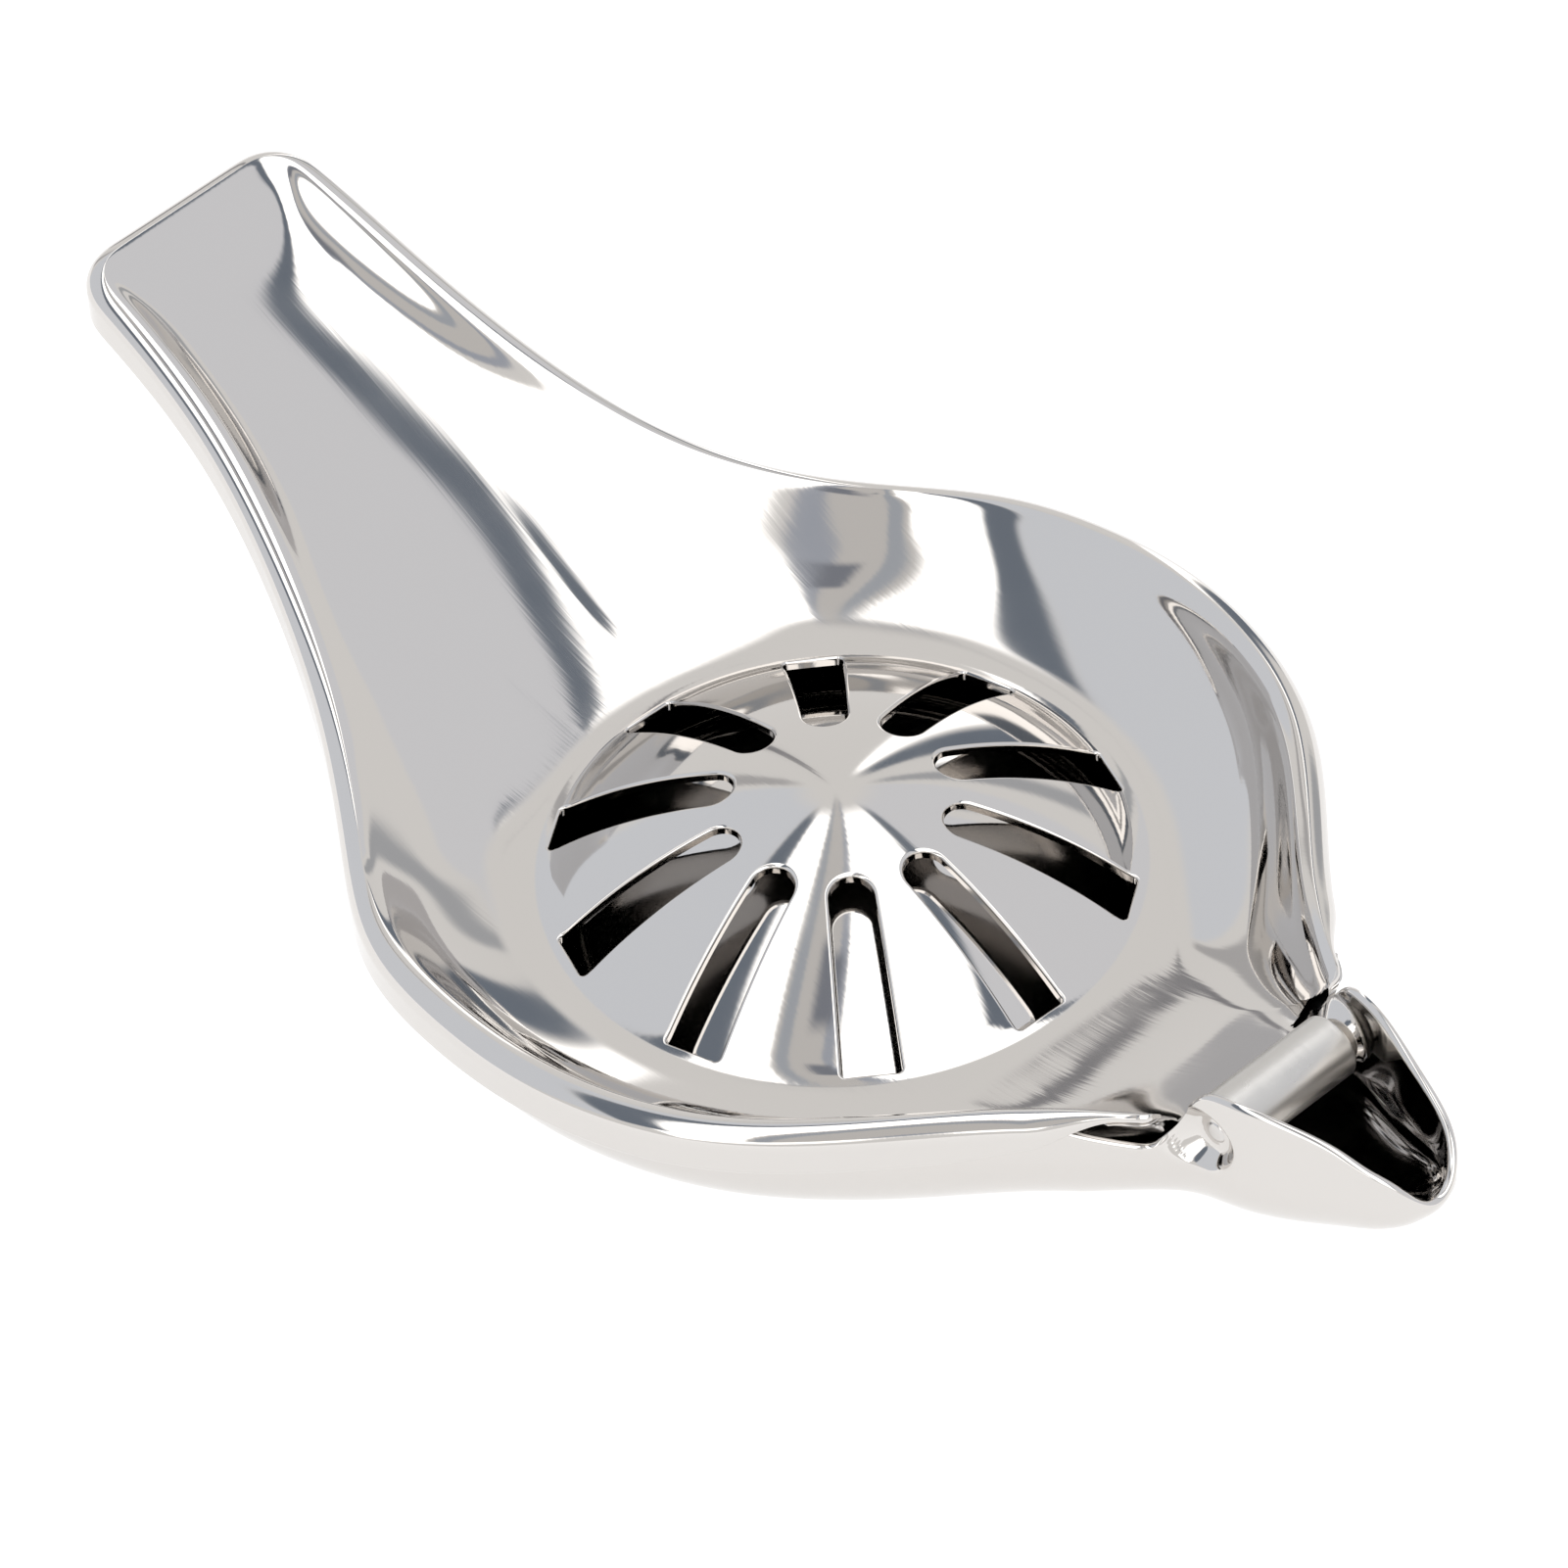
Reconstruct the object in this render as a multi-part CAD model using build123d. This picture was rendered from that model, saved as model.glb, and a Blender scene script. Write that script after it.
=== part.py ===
from build123d import *
import os
import math
import numpy as np

# Hinged lemon squeezer: two pressed sheet-metal shells on one pin.
# Upper shell: a handle that runs into a dish with a slotted strainer dome, a
# rolled bead and skirt round its rim and a hinge barrel at the front.
# Lower shell: the bowl and handle below it, drawn out in front of the hinge
# into a pouring beak whose cheeks carry the pin.
# Axes while modelling: +X from the handle to the beak, +Z up, z = 0 on the
# flat ring round the strainer dome, x = y = 0 in the middle of that dome.

# ------------------------------------------------------------- dimensions, mm
sheet = 0.8            # sheet thickness of both shells
bead_radius = 1.6      # outer radius of the rolled rim bead
skirt_depth = 4.2      # rim crest to the lower edge of the skirt
handle_end_x = -76.6   # crest line at the end of the handle
handle_corner = 4.6    # corner radius of the handle end in plan
ring_radius = 25.0     # where the dish floor meets the strainer dome
dome_apex = 8.35       # top of the strainer dome
dome_base = 23.85      # base radius of the strainer dome
dome_foot = 3.0        # foot fillet of the strainer dome
slot_count = 10
slot_phase = -2.5      # degrees from +X to the first slot
slot_inner = 8.67      # innermost point of a slot
slot_outer = 23.83     # square outer end of a slot
slot_w_in = 3.7
slot_w_out = 4.9
slot_corner = 0.4
rim_gap = 0.4          # lower rim wall stands this far outside the crest line
rim_drop = 1.65        # lower rim below the crest of the bead
bowl_base = -5.0       # underside of the bowl
lower_dome_apex = 5.2
hinge_x = 49.2
hinge_z = 9.45
barrel_radius = 2.75
barrel_half = 5.95
pin_radius = 1.1
bore_gap = 0.05        # running clearance of the pin in the barrel
pin_half = 7.15
dimple_open = 3.1      # conical dimple in each cheek, outer radius
dimple_floor = 1.75
cheek_face = 7.0       # floor of the dimple, distance from the middle plane
cup_face = 6.2         # inner face of the dimple cup
ear_radius = 5.7       # cheek round the pin
notch_radius = 6.1     # clearance in the upper plate round the cheeks

# --------------------------------------------------------------- 1-D helpers


def spline_fn(xk, yk):
    """Natural cubic spline through a table, straight outside it."""
    xk = np.asarray(xk, float)
    yk = np.asarray(yk, float)
    n = len(xk)
    h = np.diff(xk)
    a = np.zeros((n, n))
    b = np.zeros(n)
    a[0, 0] = a[-1, -1] = 1
    for i in range(1, n - 1):
        a[i, i - 1] = h[i - 1]
        a[i, i] = 2 * (h[i - 1] + h[i])
        a[i, i + 1] = h[i]
        b[i] = 6 * ((yk[i + 1] - yk[i]) / h[i] - (yk[i] - yk[i - 1]) / h[i - 1])
    m = np.linalg.solve(a, b)

    def f(x):
        x = np.asarray(x, float)
        i = np.clip(np.searchsorted(xk, x) - 1, 0, n - 2)
        t = x - xk[i]
        hh = h[i]
        k3 = (m[i + 1] - m[i]) / (6 * hh)
        k1 = (yk[i + 1] - yk[i]) / hh - hh * (2 * m[i] + m[i + 1]) / 6
        r = yk[i] + t * (k1 + t * (m[i] / 2 + t * k3))
        s0 = (yk[1] - yk[0]) / h[0] - h[0] * m[1] / 6
        s1 = (yk[-1] - yk[-2]) / h[-1] + h[-1] * m[-2] / 6
        return np.where(x < xk[0], yk[0] + s0 * (x - xk[0]),
                        np.where(x > xk[-1], yk[-1] + s1 * (x - xk[-1]), r))
    return f


def soft_fn(xk, yk, sigma):
    """Straight-line table with its corners rounded."""
    g = np.arange(-110, 110, 0.05)
    v = np.interp(g, xk, yk)
    k = np.arange(-int(100 * sigma), int(100 * sigma) + 1) * 0.05
    w = np.exp(-k * k / (2 * sigma * sigma))
    w /= w.sum()
    v = np.convolve(np.pad(v, len(k) // 2, mode="edge"), w, "valid")
    return lambda x: np.interp(x, g, v)


# half width and height of the rim crest along the part
crest_w = spline_fn([-72, -60, -48, -38, -28, -18, -8, 2, 12, 22, 30, 38, 46],
                    [10.74, 12.1, 15.5, 20.2, 26.96, 33.76, 36.72, 37.3,
                     35.36, 30.2, 23.15, 15.8, 10.4])
crest_z = spline_fn([-84, -70, -56, -42, -28, -14, 0, 14, 26, 36, 46, 56],
                    [26.6, 22.9, 16.9, 9.6, 5.71, 6.3, 7.4, 7.93, 8.98, 10.3,
                     11.4, 12.2])
# floor of the upper dish, and how far in from the crest it is reached
floor_up = soft_fn([-84, -74, -67, -60, -50, -42, -36, -31, -27, -10, 27, 30,
                    36, 42, 47.2, 50, 56],
                   [25.0, 21.9, 18.9, 15.6, 10.4, 5.5, 2.5, 0.75, 0, 0, 0,
                    0.25, 2.6, 5.7, 8.7, 9.0, 9.2], 1.4)
reach_up = soft_fn([-84, -76, -74, -70, -60, -46, -38, -30, -22, 22, 30, 36,
                    42, 46, 56],
                   [9.0, 9.0, 7.0, 5.4, 5.4, 6.4, 8.0, 10.2, 10.9, 10.9, 10.6,
                    9.0, 6.2, 4.4, 3.0], 2.0)
# underside of the lower shell and the reach of its wall
floor_lo = soft_fn([-84, -74, -67, -60, -50, -42, -37, -32, -29, 27, 30, 36,
                    44, 50, 56, 61, 65, 67],
                   [22.5, 19.4, 16.4, 13.1, 7.9, 2.6, -1.0, -4.2, -5, -5,
                    -4.7, -3.6, -2.2, -1.1, 0.9, 3.3, 6.2, 7.6], 1.6)
reach_lo = soft_fn([-84, -60, -46, -38, -30, -24, 20, 30, 40, 46, 50, 56, 61,
                    65, 67],
                   [4.2, 4.2, 5.0, 6.6, 8.8, 9.5, 9.5, 9.4, 8.8, 7.8, 7.2,
                    6.0, 4.8, 2.8, 1.8], 1.6)
rim_lo = soft_fn([-84, 46.0, 48.8, 52, 57.8, 63.6, 66.0, 66.6, 70],
                 [0, 0, 1, 1, 1, 1, 1, 1, 1], 0.5)
rim_dip = soft_fn([-84, 39.5, 42.5, 45.9, 48, 70], [0, 0, 1.7, 2.9, 0, 0], 0.6)
lip_z = spline_fn([44, 48, 52, 57.8, 61, 63.6, 66.0, 66.8],
                  [14.2, 14.5, 14.9, 14.4, 13.6, 12.5, 10.2, 8.0])

# ------------------------------------------------------------------ outlines


def closed(points, rise, sigma, step=0.4):
    """Close a half outline (handle to front, y >= 0) and round it gently."""
    h = np.array(points)
    full = np.vstack([h, (h * [1, -1])[-2:0:-1]])
    c = np.vstack([full, full[:1]])
    arc = np.r_[0, np.cumsum(np.hypot(*np.diff(c, axis=0).T))]
    n = 2 * int(round(arc[-1] / step / 2))
    s = np.arange(n) * arc[-1] / n
    k = np.fft.rfftfreq(n, arc[-1] / n)

    def rounded(v, sg):
        return np.fft.irfft(np.fft.rfft(v) * np.exp(-2 * (np.pi * k * sg) ** 2), n)
    x = rounded(np.interp(s, arc, c[:, 0]), sigma)
    y = rounded(np.interp(s, arc, c[:, 1]), sigma)
    y[0] = y[n // 2] = 0.0
    z = rounded(rise(x), 0.8)
    tx = np.roll(x, -1) - np.roll(x, 1)
    ty = np.roll(y, -1) - np.roll(y, 1)
    m = np.hypot(tx, ty)
    nx, ny = ty / m, -tx / m
    if (nx * x + ny * y).sum() > 0:
        nx, ny = -nx, -ny
    ny[0] = ny[n // 2] = 0.0
    return np.array([x, y, z, nx, ny])


def handle_half(extra):
    we = float(crest_w(handle_end_x + handle_corner)) + extra
    rc = handle_corner + extra
    xe = handle_end_x - extra
    pts = [(xe, v) for v in np.linspace(0, we - rc, 30)[:-1]]
    pts += [(xe + rc - rc * math.cos(a), we - rc + rc * math.sin(a))
            for a in np.linspace(0, math.pi / 2, 24)][:-1]
    return pts


xs = np.linspace(handle_end_x + handle_corner, 46, 260)
upper_line = closed(handle_half(0) + list(zip(xs, crest_w(xs)))
                    + [(48.0, 9.45), (50.2, 9.1), (52.5, 9.0), (54.83, 8.69),
                       (57.0, 7.79), (58.86, 6.36), (60.3, 4.5), (61.2, 2.33),
                       (61.5, 0.0)], crest_z, 1.0)
xs = np.linspace(handle_end_x + handle_corner, 44.6, 250)
front_line = closed(handle_half(0) + list(zip(xs, crest_w(xs)))
                    + [(45.6, 10.4), (45.6, 7.6), (45.7, 6.6), (46.3, 5.9),
                       (46.7, 5.2), (46.75, 3.0), (46.75, 0.0)], crest_z, 0.8)
xs = np.linspace(handle_end_x + handle_corner, 41, 250)
slope = np.gradient(crest_w(xs), xs)
grow = rim_gap / np.sqrt(1 + slope ** 2)
lower_half = handle_half(rim_gap) + list(zip(xs - slope * grow,
                                             crest_w(xs) + grow))
beak = spline_fn([38, 41, 43.5, 45.5, 47, 48.5, 50, 52, 55, 57.8, 60.6, 63.6,
                  65.2],
                 [16.15, 13.9, 11.7, 9.95, 8.95, 8.5, 8.25, 7.9, 7.05, 6.1,
                  5.25, 4.3, 3.35])
bx = np.linspace(41.8, 65.2, 90)
lower_half += list(zip(bx, beak(bx))) + [(66.0, 2.45), (66.45, 1.3), (66.6, 0.0)]


def lower_rise(x):
    t = rim_lo(x)
    return (crest_z(np.minimum(x, 50)) - rim_drop - rim_dip(x)) * (1 - t) + lip_z(np.maximum(x, 44)) * t


lower_line = closed(lower_half, lower_rise, 0.8)

# ------------------------------------------------------------------ surfaces


def foot(px, py, line):
    """Arc index of the nearest outline point and the distance to it."""
    ox, oy = line[0], line[1]
    n = len(ox)
    shape = px.shape
    px, py = px.ravel(), py.ravel()
    idx = np.empty(len(px))
    dist = np.empty(len(px))
    for a in range(0, len(px), 1500):
        qx, qy = px[a:a + 1500], py[a:a + 1500]
        d2 = (qx[:, None] - ox) ** 2 + (qy[:, None] - oy) ** 2
        i = d2.argmin(1)
        best = np.full(len(qx), 1e9)
        where = np.zeros(len(qx))
        for o in (-1, 0):
            j = (i + o) % n
            k = (j + 1) % n
            ex, ey = ox[k] - ox[j], oy[k] - oy[j]
            t = np.clip(((qx - ox[j]) * ex + (qy - oy[j]) * ey) / (ex * ex + ey * ey), 0, 1)
            dd = np.hypot(qx - ox[j] - t * ex, qy - oy[j] - t * ey)
            m = dd < best
            best = np.where(m, dd, best)
            where = np.where(m, j + t, where)
        idx[a:a + 1500] = where
        dist[a:a + 1500] = best
    return idx.reshape(shape), dist.reshape(shape)


def at(values, idx):
    n = len(values)
    j = np.floor(idx).astype(int)
    t = idx - j
    return values[j % n] * (1 - t) + values[(j + 1) % n] * t


def bead_curve(height, reach):
    """Angle of the flank between bead arc and floor fillet, and that fillet."""
    def rise(b, r):
        run = (bead_radius + r) * math.sin(b)
        flank = max((reach - run) / math.cos(b), 0.0)
        return (bead_radius + r) * (1 - math.cos(b)) + flank * math.sin(b), flank
    b0 = 2 * math.atan2(height, reach)
    r = min(max(reach / math.sin(b0) - bead_radius, 0.8), 10.0)
    lo, hi = 0.05, 1.5
    for _ in range(50):
        b = (lo + hi) / 2
        if rise(b, r)[0] > height:
            hi = b
        else:
            lo = b
    return b, r, rise(b, r)[1]


def drop_upper(d, height, reach):
    """Share of the rim height lost at distance d inside the crest."""
    out = np.empty(d.shape)
    key = np.round(height * 8).astype(int) * 1000 + np.round(reach * 8).astype(int)
    for kk in np.unique(key):
        m = key == kk
        h, e = (kk // 1000) / 8, (kk % 1000) / 8
        b, r, flank = bead_curve(h, e)
        x1 = bead_radius * math.sin(b)
        x2 = x1 + flank * math.cos(b)
        x3 = x2 + r * math.sin(b)
        z1 = bead_radius * (1 - math.cos(b))
        z2 = z1 + flank * math.sin(b)
        z3 = z2 + r * (1 - math.cos(b))
        q = d[m] * x3 / (x3 + (reach[m] - e))
        v = np.where(q < x1, bead_radius - np.sqrt(np.maximum(bead_radius ** 2 - q ** 2, 0)),
                     np.where(q < x2, z1 + (q - x1) * math.tan(b),
                              z3 - (r - np.sqrt(np.maximum(r * r - np.minimum(x3 - q, r) ** 2, 0)))))
        out[m] = np.where(q >= x3, z3, v) / z3
    return out


def top_upper(x, y):
    i, d = foot(x, y, upper_line)
    ex = at(upper_line[0], i)
    rim = at(upper_line[2], i)
    h = np.maximum(rim - floor_up(ex), 1.5)
    return floor_up(x) + h * (1 - drop_upper(d, h, reach_up(ex)))


def under_lower(x, y):
    i, d = foot(x, y, lower_line)
    ex = at(lower_line[0], i)
    rim = at(lower_line[2], i)
    h = rim - wall_straight(ex, rim) - floor_lo(ex)
    u = np.clip(1 - d / reach_lo(ex), 0, 1)
    return floor_lo(x) + h * (1 - np.sqrt(np.maximum(1 - u * u, 0)))


def wall_straight(x, rim):
    """Upright part of the lower wall under its rim."""
    total = rim - floor_lo(x)
    p, q = total - reach_lo(x), 0.09 * total
    return 0.5 * (p + q + np.sqrt((p - q) ** 2 + 0.1))


def blurred(fn, x, y, line, start):
    """Surface height with creases eased out away from the rim."""
    _, d = foot(x, y, line)
    rb = np.clip(0.3 * (d - start), 0, 1.4)
    total = fn(x, y) * 2.0
    weight = 2.0
    for k in range(8):
        a = k * math.pi / 4
        for f in (0.5, 1.0):
            total = total + fn(x + f * rb * math.cos(a), y + f * rb * math.sin(a))
            weight += 1.0
    return total / weight


def stations(line):
    """Indices along the half outline, closer together in tight curves."""
    n = line.shape[1] // 2
    x, y = line[0][:n + 1], line[1][:n + 1]
    ang = np.unwrap(np.arctan2(line[4][:n + 1], line[3][:n + 1]))
    step = np.hypot(np.diff(x), np.diff(y))
    kap = np.abs(np.diff(ang)) / step
    kap = np.convolve(np.pad(kap, 6, mode="edge"), np.ones(13) / 13, "valid")
    dens = np.r_[0, np.cumsum(step * (0.55 + 3.6 * kap))]
    count = int(math.ceil(dens[-1])) + 1
    return np.interp(np.linspace(0, dens[-1], count), dens, np.arange(n + 1))


def skin(line, outside, height, t, ring_z, cap):
    """Grid of points: rim profile outside the line, then height(x, y) inside."""
    s = stations(line)
    x0, y0, z0, nx, ny = [at(line[k], s) for k in range(5)]
    if line is front_line:
        z0 = height(x0, y0)
    m = np.hypot(nx, ny)
    nx, ny = nx / m, ny / m
    y0[0] = y0[-1] = 0
    ny[0] = ny[-1] = 0
    rows = [(x0 - o * nx, y0 - o * ny, z0 - v(x0, z0) if callable(v) else z0 - v)
            for o, v in outside]
    th = np.arctan2(y0, x0)
    th[0] = math.pi
    th[-1] = 0
    cx, cy = ring_radius * np.cos(th), ring_radius * np.sin(th)
    cy[0] = cy[-1] = 0
    span = np.hypot(cx - x0, cy - y0)
    lead = np.minimum(span, 12.0)
    for u in t:
        a, b = u * u * (3 - 2 * u), u * (1 - u) ** 2
        c = u * u * (1 - u)
        px = x0 * (1 - a) + cx * a + nx * lead * b + np.cos(th) * span * c
        py = y0 * (1 - a) + cy * a + ny * lead * b + np.sin(th) * span * c
        py[0] = py[-1] = 0
        rows.append((px, py, height(px, py)))
    g = np.array(rows)
    g[-1, 2] = ring_z
    more = [np.array([r * np.cos(th), r * np.sin(th), np.full(len(th), z)])
            for r, z in cap]
    for row in more:
        row[1][0] = row[1][-1] = 0
    return np.moveaxis(np.concatenate([g, np.array(more)]), 1, 2)


def offset_skin(g, thick):
    """The same grid moved by the sheet thickness to its other side."""
    full = np.concatenate([(g * [1, -1, 1])[:, 1:4][:, ::-1], g,
                           (g * [1, -1, 1])[:, -4:-1][:, ::-1]], axis=1)
    du = np.gradient(full, axis=0)
    dv = np.gradient(full, axis=1)
    nrm = np.cross(du, dv)
    nrm /= np.linalg.norm(nrm, axis=2, keepdims=True)
    nrm = nrm[:, 3:-3]
    nrm[:, 0, 1] = nrm[:, -1, 1] = 0
    nrm /= np.linalg.norm(nrm, axis=2, keepdims=True)
    if nrm[-1, :, 2].mean() > 0:
        nrm = -nrm
    nrm[-1] = [0, 0, -1]
    return g + nrm * thick


def section(a, b, cuts):
    """Closed wire round the sheet at one station of the rim."""
    def chain(g):
        out = []
        for i, j in zip(cuts[:-1], cuts[1:]):
            pts = [Vector(*map(float, p)) for p in g[i:j + 1]]
            if len(pts) == 2:
                out.append(Edge.make_line(*pts))
            else:
                out.append(Edge.make_spline(
                    pts, parameters=[k / (len(pts) - 1) for k in range(len(pts))]))
        return out
    ends = [Vector(*map(float, p)) for p in (a[-1], b[-1], b[0], a[0])]
    return Wire(chain(a) + [Edge.make_line(ends[0], ends[1])] + chain(b)[::-1]
                + [Edge.make_line(ends[2], ends[3])])


def closed_sheet(a, b, cuts, step=10):
    """Sheet between two skins given for y >= 0, lofted strip by strip."""
    wires = [section(a[:, k], b[:, k], cuts) for k in range(a.shape[1])]
    faces = []
    i, last = 0, len(wires) - 1
    while i < last:
        j = min(i + step, last)
        if last - j < 3:
            j = last
        faces += list(Shell.make_loft(wires[i:j + 1]).faces())
        i = j
    return Solid(Shell(faces + [mirror(f, Plane.XZ) for f in faces]))


# ------------------------------------------------------------------- domes
dome_r = [24.6, 24.2, 23.8, 23.3, 22.6, 21.6, 20.2, 18.2, 15.6, 12.6, 9.4, 6.2,
          3.4, 1.6, 0.6]


def dome_rows(apex, base_z):
    """Radii and heights down from the ring: foot fillet, then spherical cap."""
    rise = apex - base_z
    big = (dome_base ** 2 + rise ** 2) / (2 * rise)
    cz = apex - big
    fz = base_z + dome_foot
    fr = math.sqrt((big + dome_foot) ** 2 - (fz - cz) ** 2)
    rt = fr * big / (big + dome_foot)
    rows = []
    for r in dome_r:
        if r >= fr:
            z = base_z
        elif r > rt:
            z = fz - math.sqrt(dome_foot ** 2 - (fr - r) ** 2)
        else:
            z = cz + math.sqrt(big ** 2 - r * r)
        rows.append((r, z))
    return rows


def plug(apex):
    """Closes the small opening left at the top of a dome."""
    return Pos(0, 0, apex - sheet / 2) * Cylinder(1.3, sheet - 0.16)


def slot():
    r = slot_w_in / 2
    c = slot_inner + r
    body = make_face(Polyline((c, -r), (slot_outer, -slot_w_out / 2),
                              (slot_outer, slot_w_out / 2), (c, r), close=True))
    body = fillet(body.vertices().sort_by(Axis.X)[-2:], slot_corner)
    return extrude(body + Pos(c, 0) * Circle(r), 20)


def across(radius, y0, y1, radius_end=None):
    """Round solid about the hinge line between two stations across the part."""
    if radius_end is None:
        s = Cylinder(radius, y1 - y0, align=(Align.CENTER, Align.CENTER, Align.MIN))
    else:
        s = Cone(radius, radius_end, y1 - y0, align=(Align.CENTER, Align.CENTER, Align.MIN))
    return Pos(hinge_x, y0, hinge_z) * Rot(-90, 0, 0) * s


def mirrored(s):
    return mirror(s, Plane.XZ)


# -------------------------------------------------------------- upper shell
u = np.linspace(0, 1, 33)[1:]
inward = u * (0.5 + 0.5 * u)

def skirt(share):
    """Drop of the skirt below the crest; it runs out towards the hinge."""
    return lambda x, z: bead_radius + share * (0.15 + (skirt_depth - bead_radius - 0.15)
                                               * np.clip((44.0 - x) / 11.5, 0, 1))


bead = [(bead_radius, skirt(1.0)), (bead_radius, skirt(0.66)), (bead_radius, skirt(0.33))]
bead += [(bead_radius * math.cos(a), bead_radius * (1 - math.sin(a)))
         for a in np.radians([0, 15, 30, 45, 60, 75])]
bead += [(0.0, 0.0)]
up_out = skin(front_line, bead,
              lambda x, y: blurred(top_upper, x, y, upper_line, 1.4), inward, 0.0,
              dome_rows(dome_apex, 0.0))
up_in = offset_skin(up_out, sheet)
# plain sheet edge along the front instead of bead and skirt
side_y = up_out[9, :, 1]
keep_bead = np.where(up_out[9, :, 0] > 43.6, np.clip((side_y - 9.3) / 1.5, 0, 1), 1.0)
keep_bead = (keep_bead ** 2 * (3 - 2 * keep_bead))[:, None]
for r in range(9):
    for g, a, b in ((up_out, -0.37, 0.37), (up_in, -0.43, -0.37)):
        flat = up_out[9] + np.array([0, 0, a + b * r / 9])
        g[r] = keep_bead * g[r] + (1 - keep_bead) * flat
up_in[9] = keep_bead * up_in[9] + (1 - keep_bead) * (up_out[9] - np.array([0, 0, sheet]))
keep = [0] + list(range(3, 57))
upper = closed_sheet(up_out[keep], up_in[keep], [0, 1, 7, 39, 54])

# clearance in the plate for the cheeks of the lower shell
ear = across(notch_radius, 6.9, 9.3)
upper = upper - ear
upper = upper - mirrored(ear)
upper = upper + plug(dome_apex)
for i in range(slot_count):
    upper = upper - Rot(0, 0, slot_phase + i * 360 / slot_count) * Pos(0, 0, -4) * slot()


# ------------------------------------------- hinge barrel, brazed to the plate
barrel = across(barrel_radius, -barrel_half, barrel_half)
barrel = fillet(barrel.edges().filter_by(GeomType.CIRCLE), 0.25)
barrel = barrel - across(pin_radius + bore_gap, -9, 9)

# -------------------------------------------------------------- lower shell
u = np.linspace(0, 1, 36)[1:]
inward = u * (0.22 + 0.78 * u)
wall = [(0.0, 0.0)] + [(0.0, (lambda x, z, f=f: f * wall_straight(x, z)))
                       for f in (0.3, 0.65, 1.0)]
lo_out = skin(lower_line, wall,
              lambda x, y: blurred(under_lower, x, y, lower_line, 1.0), inward,
              bowl_base, dome_rows(lower_dome_apex - sheet, bowl_base))
lo_in = offset_skin(lo_out, -sheet)
keep = [0] + list(range(3, 54))
lower = closed_sheet(lo_out[keep], lo_in[keep], [0, 1, 36, 51])
lower = lower + plug(lower_dome_apex)
for side in (1, -1):
    cup = across(2.5, cup_face, 7.6, 3.3)
    mouth = across(dimple_floor, cheek_face, cheek_face + 3, dimple_floor + 3 * 1.08)
    hole = across(pin_radius, 5, 12)
    if side == -1:
        cup, mouth, hole = mirrored(cup), mirrored(mouth), mirrored(hole)
    lower = lower + cup - mouth - hole

# ---------------------------------------------------------------- hinge pin
pin = across(pin_radius, -pin_half, pin_half)
pin = fillet(pin.edges().filter_by(GeomType.CIRCLE), 0.5)

# --------------------------------------------------------------------- save
shift = Pos(5.8, 0, -bowl_base)
os.makedirs("parts", exist_ok=True)
for name, shape in (("upper_shell", upper), ("lower_shell", lower),
                    ("hinge_barrel", barrel), ("hinge_pin", pin)):
    solids = (shift * shape).solids()
    solids.sort(key=lambda q: -q.volume)
    print(name, len(solids), [round(q.volume, 2) for q in solids],
          solids[0].is_valid, solids[0].bounding_box())
    export_step(solids[0], f"parts/{name}.step")
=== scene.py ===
import math
import bpy
import numpy as np
from mathutils import Matrix, Vector
from mathutils.geometry import delaunay_2d_cdt

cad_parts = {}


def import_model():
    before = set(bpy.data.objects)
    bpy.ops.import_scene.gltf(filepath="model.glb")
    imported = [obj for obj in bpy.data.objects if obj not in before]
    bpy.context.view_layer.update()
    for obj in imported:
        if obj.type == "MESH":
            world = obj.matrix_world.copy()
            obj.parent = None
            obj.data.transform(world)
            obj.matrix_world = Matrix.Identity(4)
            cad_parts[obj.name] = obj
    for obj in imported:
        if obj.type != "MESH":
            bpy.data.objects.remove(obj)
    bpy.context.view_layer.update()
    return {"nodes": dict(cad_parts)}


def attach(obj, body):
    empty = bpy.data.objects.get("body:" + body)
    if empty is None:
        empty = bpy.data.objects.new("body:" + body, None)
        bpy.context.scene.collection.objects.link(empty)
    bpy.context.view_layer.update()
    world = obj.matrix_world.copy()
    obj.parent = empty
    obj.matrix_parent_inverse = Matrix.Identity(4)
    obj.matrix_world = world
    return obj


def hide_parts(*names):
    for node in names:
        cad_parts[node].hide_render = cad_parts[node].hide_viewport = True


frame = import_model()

# ------------------------------------------------------------- dimensions, mm
sheet = 0.8
bead_radius = 1.6
skirt_depth = 4.2
handle_end_x = -76.6
handle_corner = 3.0
ring_radius = 25.0
dome_apex = 8.35
dome_base = 23.85
dome_foot = 3.0
slot_count = 10
slot_phase = -2.5
slot_inner = 8.67
slot_outer = 23.83
slot_w_in = 3.7
slot_w_out = 4.9
slot_corner = 0.4
rim_gap = 0.4
rim_drop = 1.65
bowl_base = -5.0
lower_dome_apex = 5.2
hinge_x = 49.2
hinge_z = 9.45
SHIFT = np.array([5.8, 0.0, 5.0])


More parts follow.
